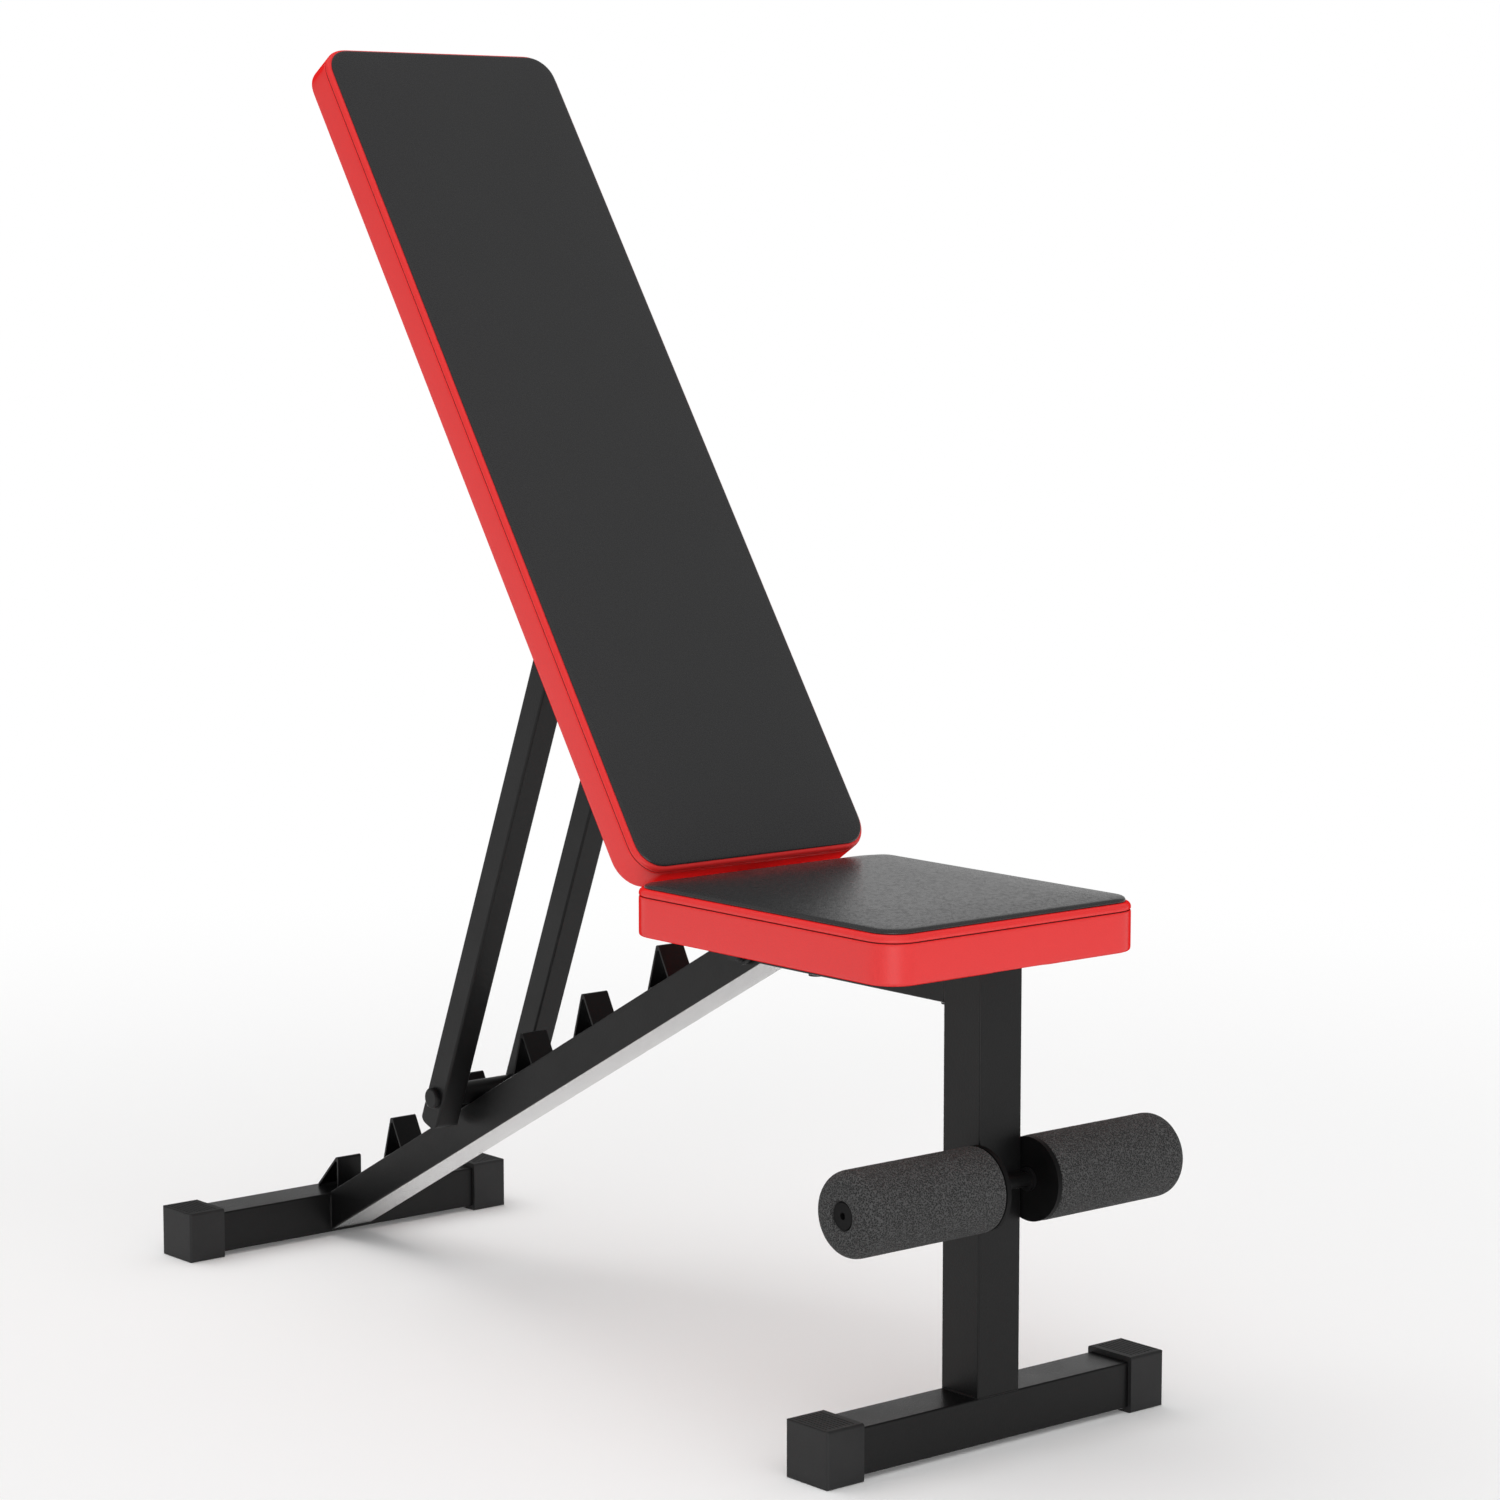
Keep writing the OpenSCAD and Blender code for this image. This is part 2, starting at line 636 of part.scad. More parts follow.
module hinge_bolt() color(plated_black) on_support() translate([0, 0, leg_span]) cross_bolt(leg_outer);
module hinge_nut() color(plated_black) on_support() translate([0, 0, leg_span]) cross_nut(leg_outer);
module hinge_spacers() color(plated_black) on_support() translate([0, 0, leg_span])
    both_sides() ring(flange_r - 1, hole_r, rail_half + bush_flange + side_gap, leg_inner);

// ---------------------------------------------------------------- rollers

// The axle is welded across the front of the post, with a bead above it and one below.
module roller_axle() color(black_steel) at_rollers() {
    rod(axle_r, -axle_end, axle_end);
    across(tube_width - 2 * tube_corner) difference() {
        polygon([[-axle_r, -axle_r - 1], [0, -axle_r], [0, axle_r], [-axle_r, axle_r + 1]]);
        circle(r = axle_r);
    }
}

module axle_collars() color(plated_black) at_rollers()
    both_sides() ring(axle_r + 4, axle_r, tube_width / 2, disc_inner - side_gap);

module axle_lock_rings() color(plated_black) at_rollers()
    both_sides() ring(sleeve_r - 1.6, axle_r, sleeve_end + side_gap, plug_start + side_gap);

// The pieces of one roller, drawn for the +Y side.
module foam() rotate([-90, 0, 0]) rotate_extrude() difference() {
    union() {
        translate([0, roller_inner]) square([roller_diameter / 2, roller_outer - roller_inner - roller_edge]);
        translate([0, roller_inner]) square([roller_diameter / 2 - roller_edge, roller_outer - roller_inner]);
        translate([roller_diameter / 2 - roller_edge, roller_outer - roller_edge]) circle(r = roller_edge);
    }
    translate([-roller_diameter, 0]) square([roller_diameter + sleeve_r, 2 * roller_outer]);
}

module sleeve() ring(sleeve_r, sleeve_bore, disc_inner, sleeve_end);
module disc() ring(roller_diameter / 2 - disc_inset, sleeve_r, disc_inner, roller_inner);

module plug() difference() {
    rod(sleeve_r, plug_start, plug_end);
    rod(sleeve_r - 1.2, plug_start - 1, plug_end - 2.5);
    rod(plug_hole / 2, plug_start, plug_end + 1);
}

module roller_left_foam() color(foam_grey) at_rollers() foam();
module roller_left_sleeve() color(black_rubber) at_rollers() sleeve();
module roller_left_disc() color(black_rubber) at_rollers() disc();
module roller_left_plug() color(black_rubber) at_rollers() plug();
module roller_right_foam() color(foam_grey) at_rollers() mirror([0, 1, 0]) foam();
module roller_right_sleeve() color(black_rubber) at_rollers() mirror([0, 1, 0]) sleeve();
module roller_right_disc() color(black_rubber) at_rollers() mirror([0, 1, 0]) disc();
module roller_right_plug() color(black_rubber) at_rollers() mirror([0, 1, 0]) plug();

rear_foot_tube();
front_foot_tube();
rear_cap_left();
rear_cap_right();
front_cap_left();
front_cap_right();
front_post();
seat_beam();
spine_tube();
stop_1();
stop_2();
stop_3();
stop_4();
stop_5();
stop_6();
pivot_bolt();
pivot_nut();
seat_board();
seat_pad();
seat_bolts();
seat_tee_nuts();
roller_axle();
axle_collars();
axle_lock_rings();
backrest_rail();
rail_end_plug();
pivot_ear_left();
pivot_ear_right();
pivot_bushes();
hinge_bushes();
backrest_board();
backrest_pad();
backrest_bolts();
backrest_tee_nuts();
support_leg_left();
support_leg_right();
support_bar();
bar_bolt();
bar_cap_nut();
hinge_bolt();
hinge_nut();
hinge_spacers();
roller_left_foam();
roller_left_sleeve();
roller_left_disc();
roller_left_plug();
roller_right_foam();
roller_right_sleeve();
roller_right_disc();
roller_right_plug();
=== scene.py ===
import json
import math

import bpy
from mathutils import Matrix, Vector, noise

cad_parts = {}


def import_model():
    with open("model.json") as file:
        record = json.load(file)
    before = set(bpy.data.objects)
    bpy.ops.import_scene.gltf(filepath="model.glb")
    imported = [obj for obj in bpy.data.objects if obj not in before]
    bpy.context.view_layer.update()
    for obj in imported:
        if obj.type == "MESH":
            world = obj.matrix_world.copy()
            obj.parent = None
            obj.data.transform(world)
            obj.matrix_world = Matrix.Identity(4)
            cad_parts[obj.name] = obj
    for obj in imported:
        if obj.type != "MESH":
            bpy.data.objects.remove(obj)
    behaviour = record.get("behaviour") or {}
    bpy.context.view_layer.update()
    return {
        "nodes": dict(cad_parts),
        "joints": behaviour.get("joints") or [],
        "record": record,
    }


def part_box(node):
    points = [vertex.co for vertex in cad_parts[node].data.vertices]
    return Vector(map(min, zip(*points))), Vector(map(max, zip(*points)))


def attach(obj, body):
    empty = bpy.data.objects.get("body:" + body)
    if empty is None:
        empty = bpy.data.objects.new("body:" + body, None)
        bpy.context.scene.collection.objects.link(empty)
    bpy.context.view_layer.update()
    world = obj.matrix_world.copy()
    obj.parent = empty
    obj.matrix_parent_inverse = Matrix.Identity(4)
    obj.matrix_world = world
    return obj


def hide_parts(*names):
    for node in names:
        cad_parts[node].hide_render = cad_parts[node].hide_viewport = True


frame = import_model()
NODES = frame["nodes"]
scene = bpy.context.scene
TAU = 2 * math.pi
WHITE = (1.0, 1.0, 1.0, 1.0)

# An adjustable weight bench. The CAD nodes keep their shapes and get their finish here. The covers of
# the two pads and the foam rollers are modelled here, with the weld beads and staples. Metres.

# ------------------------------------------------------------------ camera

camera_data = bpy.data.cameras.new("camera")
camera_data.lens = 97.32
camera_data.sensor_width = 36.0
camera_data.clip_end = 200.0
camera = bpy.data.objects.new("camera", camera_data)
camera.location = (2.8695, -2.2585, 0.995)
camera.rotation_euler = (math.radians(82.87), 0.0, math.radians(50.21))
scene.collection.objects.link(camera)
scene.camera = camera
scene.view_settings.view_transform = "Standard"

# ------------------------------------------------------------------ shader nodes


class Shader:
    """A node material with a Principled surface and object coordinates in metres."""

    def __init__(self, name, **sockets):
        self.mat = bpy.data.materials.new(name)
        self.mat.use_nodes = True
        self.nodes = self.mat.node_tree.nodes
        self.links = self.mat.node_tree.links
        self.bsdf = self.nodes["Principled BSDF"]
        self.out = self.nodes["Material Output"]
        for key, value in sockets.items():
            self.bsdf.inputs[key.replace("_", " ")].default_value = value
        self.coords = self.nodes.new("ShaderNodeTexCoord").outputs["Object"]

    def link(self, a, b):
        self.links.new(a, b)

    def stretch(self, scale):
        node = self.nodes.new("ShaderNodeMapping")
        node.inputs["Scale"].default_value = scale
        self.link(self.coords, node.inputs["Vector"])
        return node.outputs["Vector"]

    def noise(self, scale, detail, rough, coords=None, distortion=0.0):
        node = self.nodes.new("ShaderNodeTexNoise")
        node.inputs["Scale"].default_value = scale
        node.inputs["Detail"].default_value = detail
        node.inputs["Roughness"].default_value = rough
        node.inputs["Distortion"].default_value = distortion
        self.link(coords or self.coords, node.inputs["Vector"])
        return node.outputs["Fac"]

    def cells(self, scale, feature):
        node = self.nodes.new("ShaderNodeTexVoronoi")
        node.feature = feature
        node.inputs["Scale"].default_value = scale
        self.link(self.coords, node.inputs["Vector"])
        return node.outputs["Distance"]

    def facing(self, normal=None):
        """0 where the surface is seen square on, 1 where it is seen edge-on."""
        node = self.nodes.new("ShaderNodeLayerWeight")
        node.inputs["Blend"].default_value = 0.5
        if normal:
            self.link(normal, node.inputs["Normal"])
        return node.outputs["Facing"]

    def remap(self, value, lo, hi, to_lo, to_hi, smooth=False):
        node = self.nodes.new("ShaderNodeMapRange")
        if smooth:
            node.interpolation_type = "SMOOTHSTEP"
        for key, v in (("From Min", lo), ("From Max", hi), ("To Min", to_lo), ("To Max", to_hi)):
            node.inputs[key].default_value = v
        self.link(value, node.inputs["Value"])
        return node.outputs["Result"]

    def colours(self, value, *stops):
        node = self.nodes.new("ShaderNodeValToRGB")
        ramp = node.color_ramp
        while len(ramp.elements) < len(stops):
            ramp.elements.new(0.5)
        for element, (at, rgb) in zip(ramp.elements, stops):
            element.position = at
            element.color = (*rgb, 1.0)
        self.link(value, node.inputs["Fac"])
        return node.outputs["Color"]

    def math(self, op, a, b):
        node = self.nodes.new("ShaderNodeMath")
        node.operation = op
        for socket, v in zip(node.inputs, (a, b)):
            if isinstance(v, (int, float)):
                socket.default_value = v
            else:
                self.link(v, socket)
        return node.outputs["Value"]

    def mix(self, amount, first, second):
        """Blends from one shader to another by an amount from 0 to 1, and sets that as the surface."""
        node = self.nodes.new("ShaderNodeMixShader")
        self.link(amount, node.inputs["Fac"])
        self.link(first, node.inputs[1])
        self.link(second, node.inputs[2])
        self.link(node.outputs["Shader"], self.out.inputs["Surface"])

    def bump(self, *layers):
        """Each layer is (height, strength, distance in metres)."""
        last = None
        for height, strength, distance in layers:
            node = self.nodes.new("ShaderNodeBump")
            node.inputs["Strength"].default_value = strength
            node.inputs["Distance"].default_value = distance
            self.link(height, node.inputs["Height"])
            if last:
                self.link(last, node.inputs["Normal"])
            last = node.outputs["Normal"]
        self.link(last, self.bsdf.inputs["Normal"])
        return last

    def base(self, socket):
        self.link(socket, self.bsdf.inputs["Base Color"])

    def rough(self, socket):
        self.link(socket, self.bsdf.inputs["Roughness"])


# ------------------------------------------------------------------ materials


def powder_coat():
    """Satin black powder coat: orange peel, and a strong sheen where it is seen edge-on."""
    s = Shader("powder_coat_black", Metallic=0.0, IOR=1.36)
    peel = s.noise(620.0, 2.0, 0.5)
    grain = s.noise(2600.0, 2.0, 0.6)
    cloud = s.noise(9.0, 3.0, 0.6)
    s.base(s.colours(cloud, (0.3, (0.0026, 0.0026, 0.0028)), (0.7, (0.0040, 0.0040, 0.0042))))
    s.rough(s.remap(cloud, 0.3, 0.7, 0.36, 0.46))
    normal = s.bump((peel, 0.30, 0.0004), (grain, 0.25, 0.00012))
    sheen = s.nodes.new("ShaderNodeBsdfGlossy")
    sheen.inputs["Color"].default_value = WHITE
    sheen.inputs["Roughness"].default_value = 0.16
    s.link(normal, sheen.inputs["Normal"])
    edge_on = s.remap(s.facing(normal), 0.765, 0.825, 0.0, 1.0, smooth=True)
    s.mix(edge_on, s.bsdf.outputs["BSDF"], sheen.outputs["BSDF"])
    return s.mat


def rubber():
    s = Shader("moulded_rubber", Metallic=0.0, IOR=1.45)
    grain = s.noise(1500.0, 3.0, 0.6)
    cloud = s.noise(25.0, 3.0, 0.6)
    s.base(s.colours(cloud, (0.3, (0.014, 0.014, 0.0145)), (0.7, (0.019, 0.019, 0.0195))))
    s.rough(s.remap(grain, 0.3, 0.7, 0.52, 0.66))
    s.bump((grain, 0.35, 0.00025))
    return s.mat


def plastic():
    s = Shader("moulded_plastic", Metallic=0.0, IOR=1.25)
    grain = s.noise(1900.0, 2.0, 0.5)
    cloud = s.noise(40.0, 2.0, 0.5)
    s.base(s.colours(cloud, (0.3, (0.003, 0.003, 0.0031)), (0.7, (0.005, 0.005, 0.0052))))
    s.rough(s.remap(cloud, 0.3, 0.7, 0.52, 0.62))
    s.bump((grain, 0.2, 0.0001))
    return s.mat


def black_plate():
    s = Shader("black_plated_steel", Metallic=0.0, IOR=1.4)
    turned = s.noise(500.0, 3.0, 0.6, s.stretch((1.0, 0.15, 1.0)))
    cloud = s.noise(70.0, 3.0, 0.6)
    s.base(s.colours(cloud, (0.3, (0.004, 0.004, 0.0044)), (0.7, (0.008, 0.008, 0.0085))))
    s.rough(s.remap(turned, 0.3, 0.7, 0.38, 0.52))
    s.bump((turned, 0.2, 0.00008))
    return s.mat


def staple_wire():
    s = Shader("staple_wire", Metallic=1.0)
    cloud = s.noise(400.0, 2.0, 0.6)
    s.base(s.colours(cloud, (0.3, (0.42, 0.42, 0.43)), (0.7, (0.62, 0.62, 0.62))))
    s.rough(s.remap(cloud, 0.3, 0.7, 0.25, 0.40))
    return s.mat


def nylon():
    s = Shader("natural_nylon", Metallic=0.0, IOR=1.53)
    cloud = s.noise(60.0, 2.0, 0.5)
    s.base(s.colours(cloud, (0.3, (0.56, 0.56, 0.53)), (0.7, (0.64, 0.64, 0.61))))
    s.rough(s.remap(cloud, 0.3, 0.7, 0.38, 0.48))
    s.bump((s.noise(1200.0, 2.0, 0.5), 0.15, 0.0001))
    return s.mat


def plywood():
    s = Shader("plywood", Metallic=0.0, IOR=1.45)
    along_grain = s.stretch((12.0, 160.0, 12.0))
    grain = s.noise(3.0, 5.0, 0.65, along_grain, distortion=1.2)
    fine = s.noise(14.0, 3.0, 0.7, along_grain)
    dark, middle, light = (0.30, 0.185, 0.095), (0.50, 0.335, 0.18), (0.60, 0.42, 0.24)
    s.base(s.colours(grain, (0.25, dark), (0.5, middle), (0.75, light)))
    s.rough(s.remap(fine, 0.3, 0.7, 0.62, 0.78))
    s.bump((fine, 0.4, 0.0003))
    return s.mat


def vinyl(name, dark, light, roughness, grain_size, depth):
    """Grained vinyl: rounded pebbles with fine creases between them."""
    s = Shader(name, Metallic=0.0, IOR=1.5)
    pebble = s.cells(1.0 / grain_size, "SMOOTH_F1")
    crease = s.noise(1.6 / grain_size, 3.0, 0.6)
    cloud = s.noise(14.0, 3.0, 0.6)
    mixed = s.math("ADD", s.math("MULTIPLY", crease, 0.75), s.math("MULTIPLY", cloud, 0.25))
    s.base(s.colours(mixed, (0.35, dark), (0.65, light)))
    s.rough(s.remap(crease, 0.3, 0.7, roughness - 0.05, roughness + 0.07))
    s.bump((pebble, 0.5, depth), (crease, 0.35, depth * 0.6))
    return s


def black_vinyl():
    """Glossier than the red, with a sparkle in its grain where it is seen edge-on."""
    s = vinyl("black_vinyl", (0.0310, 0.0310, 0.0317), (0.0340, 0.0340, 0.0347), 0.27, 0.0016, 0.00022)
    edge_on = s.remap(s.facing(), 0.60, 0.80, 0.0, 0.42, smooth=True)
    dull = s.math("MULTIPLY", edge_on, s.remap(s.noise(250.0, 3.0, 0.75), 0.42, 0.58, 0.0, 1.0))
    s.link(s.math("SUBTRACT", 0.5, dull), s.bsdf.inputs["Specular IOR Level"])
    return s.mat


def matt_vinyl(*look):
    """Vinyl that loses its gloss where it is seen edge-on."""
    s = vinyl(*look)
    s.link(s.remap(s.facing(), 0.50, 0.66, 0.6, 0.0, smooth=True), s.bsdf.inputs["Specular IOR Level"])
    return s.mat


def foam():
    """Closed-cell foam: a fine open skin with pits; painted shade darkens the pits and a painted highlight
    lightens the rims.
    """
    s = Shader("roller_foam", Metallic=0.0, IOR=1.4, Roughness=0.85)
    pits = s.cells(760.0, "F1")
    small = s.noise(1500.0, 2.0, 0.7)
    tone = s.math("ADD", s.math("MULTIPLY", pits, 0.55), s.math("MULTIPLY", small, 0.55))
    # The colour follows the pits' bump: painted shade in the pits, and a painted highlight on the raised
    # rims between them.
    pit_painted_shade, skin, rim = (0.005, 0.005, 0.005), (0.031, 0.031, 0.031), (0.086, 0.086, 0.086)
    s.base(s.colours(tone, (0.34, pit_painted_shade), (0.50, skin), (0.68, rim)))
    s.bump((pits, 0.7, 0.0006), (small, 0.5, 0.0003))
    return s.mat


POWDER = powder_coat()
STAPLE = staple_wire()
FOAM = foam()
BLACK_VINYL = black_vinyl()
RED_VINYL = matt_vinyl("red_vinyl", (0.82, 0.020, 0.020), (0.90, 0.024, 0.023), 0.46, 0.0014, 0.00018)
# A near-black red that is painted shade in the bottom of the cover's sewn seam.
SEAM_PAINTED_SHADE = matt_vinyl("seam_painted_shade", (0.010, 0.0010, 0.0010), (0.020, 0.002, 0.002), 0.75, 0.0010, 0.0001)

SLOT_MATERIALS = {
    "black_frame": POWDER,
    "cap_rubber": rubber(),
    "black_fasteners": black_plate(),
    "plywood": plywood(),
    "upholstery": RED_VINYL,
    "roller_foam": FOAM,
    "black_plastic": plastic(),
    "nylon_bushes": nylon(),
}
for part in frame["record"]["subparts"]:
    node = NODES[part["node"]]
    node.data.materials.clear()
    node.data.materials.append(SLOT_MATERIALS[part["material_slot"]])

# ------------------------------------------------------------------ floor, world and light


def floor():
    """A white floor that turns into the white background well away from the bench."""
    radius, sides = 30.0, 48
    mesh = bpy.data.meshes.new("floor")
    verts = [(0.0, 0.0, 0.0)]
    for i in range(sides):
        verts.append((radius * math.cos(TAU * i / sides), radius * math.sin(TAU * i / sides), 0.0))
    mesh.from_pydata(verts, [], [(0, 1 + i, 1 + (i + 1) % sides) for i in range(sides)])
    obj = bpy.data.objects.new("floor", mesh)
    scene.collection.objects.link(obj)
    s = Shader("floor_white")
    s.nodes.remove(s.bsdf)
    diffuse = s.nodes.new("ShaderNodeBsdfDiffuse")
    diffuse.inputs["Color"].default_value = (0.97, 0.97, 0.97, 1.0)
    glow = s.nodes.new("ShaderNodeEmission")
    glow.inputs["Color"].default_value = WHITE
    glow.inputs["Strength"].default_value = 1.0
    distance = s.nodes.new("ShaderNodeVectorMath")
    distance.operation = "LENGTH"
    s.link(s.coords, distance.inputs[0])
    far = s.remap(distance.outputs["Value"], 0.9, 2.6, 0.0, 1.0, smooth=True)
    s.mix(far, diffuse.outputs["BSDF"], glow.outputs["Emission"])
    mesh.materials.append(s.mat)


def world():
    """A white background, a room that lights the bench softly, and a dimmer one in its reflections."""
    w = bpy.data.worlds.new("studio")
    w.use_nodes = True
    nodes, links = w.node_tree.nodes, w.node_tree.links
    nodes.remove(nodes["Background"])
    path = nodes.new("ShaderNodeLightPath")

    def white(strength):
        node = nodes.new("ShaderNodeBackground")
        node.inputs["Color"].default_value = WHITE
        node.inputs["Strength"].default_value = strength
        return node.outputs["Background"]

    def for_ray(kind, shader, otherwise):
        node = nodes.new("ShaderNodeMixShader")
        links.new(path.outputs[kind], node.inputs["Fac"])
        links.new(otherwise, node.inputs[1])
        links.new(shader, node.inputs[2])
        return node.outputs["Shader"]

    lit = for_ray("Is Glossy Ray", white(0.24), white(0.45))
    seen = for_ray("Is Camera Ray", white(1.0), lit)
    links.new(seen, nodes["World Output"].inputs["Surface"])
    scene.world = w


def sun(name, strength, spread, elevation, azimuth, shadow=True):
    """A soft sun. Azimuth is the direction it shines from, in degrees from +X towards +Y."""
    data = bpy.data.lights.new(name, "SUN")
    data.energy = strength
    data.angle = math.radians(spread)
    data.use_shadow = shadow
    obj = bpy.data.objects.new(name, data)
    el, az = math.radians(elevation), math.radians(azimuth)
    towards = Vector((math.cos(el) * math.cos(az), math.cos(el) * math.sin(az), math.sin(el)))
    obj.rotation_euler = towards.to_track_quat("Z", "Y").to_euler()
    scene.collection.objects.link(obj)
    obj.visible_glossy = False


def card(name, radiance, size, place, aim):
    """A lit card that only shows as a reflection in the glossy surfaces."""
    data = bpy.data.lights.new(name, "AREA")
    data.shape = "RECTANGLE"
    data.size, data.size_y = size
    data.energy = radiance * math.pi * size[0] * size[1]
    obj = bpy.data.objects.new(name, data)
    obj.location = place
    obj.rotation_euler = (Vector(place) - Vector(aim)).to_track_quat("Z", "Y").to_euler()
    scene.collection.objects.link(obj)
    obj.visible_camera = False
    obj.visible_diffuse = False


floor()
world()
sun("key_light", 0.90, spread=60.0, elevation=62.0, azimuth=198.0)
sun("fill_light", 1.1, spread=60.0, elevation=45.0, azimuth=-20.0, shadow=False)
card("card_behind", 0.46, size=(9.6, 9.6), place=(-7.5, 11.6, 5.0), aim=(0.35, 0.0, 0.45))
card("card_low", 4.0, size=(0.8, 0.30), place=(1.43, -0.86, 0.16), aim=(0.458, 0.0, 0.16))

# ------------------------------------------------------------------ mesh helpers


def new_piece(name, verts, faces, materials, body, levels=0, face_materials=None):
    """A smooth mesh piece that rides on a body, with so many levels of subdivision."""
    mesh = bpy.data.meshes.new(name)
    mesh.from_pydata([tuple(v) for v in verts], [], faces)
    for material in materials:
        mesh.materials.append(material)
    mesh.polygons.foreach_set("use_smooth", [True] * len(mesh.polygons))
    if face_materials:
        mesh.polygons.foreach_set("material_index", face_materials)
    mesh.update()
    obj = bpy.data.objects.new(name, mesh)
    scene.collection.objects.link(obj)
    if levels:
        modifier = obj.modifiers.new("subdivision", "SUBSURF")
        modifier.levels = levels
        modifier.render_levels = levels
    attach(obj, body)
    return obj


class Tubes:
    """Collects swept beads and wires into one mesh."""

    RIPPLE_PITCH = 0.0022
    BLUNT = 0.35  # radius of a pinched end, as a share of the tube's
    ASKEW = Vector((0.31, 0.22, 0.93))  # lies along none of the runs

    def __init__(self):
        self.verts, self.faces = [], []

    def sweep(self, points, radius, sides=8, ripple=0.0, step=0.0008):
        points = [Vector(p) for p in points]
        path, run = [], 0.0
        for a, b in zip(points, points[1:]):
            n = max(1, round((b - a).length / step))
            for i in range(n):
                path.append((a.lerp(b, i / n), run + (b - a).length * i / n))
            run += (b - a).length
        path.append((points[-1], run))
        last = len(path) - 1
        start = len(self.verts)
        for i, (p, at) in enumerate(path):
            along = (path[min(i + 1, last)][0] - path[max(i - 1, 0)][0]).normalized()
            side = along.cross(self.ASKEW).normalized()
            up = along.cross(side)
            r = radius * (1 + ripple * math.sin(TAU * at / self.RIPPLE_PITCH))
            r *= min(1.0, self.BLUNT + min(at, run - at) / (2 * radius))
            for k in range(sides):
                a = TAU * k / sides
                self.verts.append(p + r * (math.cos(a) * side + math.sin(a) * up))
        for i in range(last):
            for k in range(sides):
                a = start + i * sides + k
                b = start + i * sides + (k + 1) % sides
                self.faces.append((a, b, b + sides, a + sides))
        self.faces.append(tuple(start + k for k in reversed(range(sides))))
        self.faces.append(tuple(start + last * sides + k for k in range(sides)))

    def build(self, name, material, body):
        return new_piece(name, self.verts, self.faces, [material], body)


# ------------------------------------------------------------------ where things are

JOINTS = {joint["name"]: joint for joint in frame["joints"]}
PIVOT = Vector(JOINTS["backrest_recline"]["pos_m"])

# The backrest as the CAD has it: its lean from upright, how far its board's underside lies in front of
# the pivot, and where its pad starts above the pivot.
LEAN = math.radians(33.7)
BOARD_FORWARD = 0.0018
PAD_START = 0.069
UP_BACK = Vector((-math.sin(LEAN), 0.0, math.cos(LEAN)))
OUT_BACK = Vector((math.cos(LEAN), 0.0, math.sin(LEAN)))

SEAT_LOW, SEAT_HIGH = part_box("seat_pad")
BACK_LOW, BACK_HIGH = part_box("backrest_pad")
SEAT_SIZE = (SEAT_HIGH.x - SEAT_LOW.x, SEAT_HIGH.y - SEAT_LOW.y)
BACK_SIZE = (0.860, BACK_HIGH.y - BACK_LOW.y)

# Each place takes a pad that lies flat, centred in plan on its board's underside, to the bench.
SEAT_PLACE = Matrix.Translation((((SEAT_LOW + SEAT_HIGH) / 2).x, 0.0, SEAT_LOW.z))
back_mid = PIVOT + OUT_BACK * BOARD_FORWARD + UP_BACK * (PAD_START + BACK_SIZE[0] / 2)
BACK_PLACE = Matrix((
    (-UP_BACK.x, 0.0, OUT_BACK.x, back_mid.x),
    (0.0, 1.0, 0.0, 0.0),
    (-UP_BACK.z, 0.0, OUT_BACK.z, back_mid.z),
    (0.0, 0.0, 0.0, 1.0),
))

# ------------------------------------------------------------------ pads

CORNER = 0.027  # radius of a pad's corners in plan
MIN_CORNER = 0.004
SEAM_HALF = 0.00058  # sets the width of the sewn seam's groove
SHOULDER = 0.0042  # radius of the cover's upper edge
SIDE_RINGS = 5
SIDE_SWELL = 0.0010
STIFF_PANEL_RINGS = 7  # the panel's outer rings, which the foam doesn't swell
THIN_REACH = 0.030  # how far from the rear edge a panel may be thinner
THIN_FADE = 0.024  # the part of that over which it gets its full height back

# The cover's edge under the board and round its lower corner, as (inset from the outline, height).
WRAP = [
    (0.0300, -0.0007), (0.0240, -0.0008), (0.0160, -0.0008), (0.0090, -0.0008), (0.0050, -0.0007),
    (0.0022, -0.0005), (0.0008, 0.0003), (0.0002, 0.0012), (0.0, 0.0025),
]


def cover_profile(seam, top):
    """From under the board up the side, over the sewn seam, to where the panel covers the edge."""
    lower, upper = WRAP[-1][1], seam - 3 * SEAM_HALF
    side = [(0.0, lower + (upper - lower) * (i + 1) / SIDE_RINGS) for i in range(SIDE_RINGS)]
    groove = [
        (0.0001, seam - 1.6 * SEAM_HALF), (0.0007, seam - 0.7 * SEAM_HALF), (0.0017, seam),
        (0.0007, seam + 0.7 * SEAM_HALF), (0.0001, seam + 1.6 * SEAM_HALF), (0.0, seam + 3 * SEAM_HALF),
    ]
    shoulder = []
    for t in (0.15, 0.4, 0.6, 0.8, 1.0):
        inset = SHOULDER - SHOULDER * math.cos(TAU / 4 * t)
        shoulder.append((inset, top - SHOULDER + SHOULDER * math.sin(TAU / 4 * t)))
    return WRAP + side + groove + shoulder + [(0.0065, top - 0.0004), (0.0090, top - 0.0012)]


def panel_profile(top, raised, rim):
    """The top panel, from under its edge over its rounded rim to the start of its middle."""
    return [
        (0.0100, top - 0.0016), (0.0070, top - 0.0010), (rim + 0.0004, top - 0.0003),
        (rim - 0.0002, top + 0.0007), (rim + 0.0002, top + raised * 0.55),
        (rim + 0.0012, top + raised * 0.85), (rim + 0.0028, top + raised),
        (0.0110, top + raised + 0.0004), (0.0160, top + raised + 0.0007), (0.0220, top + raised + 0.0009),
    ]


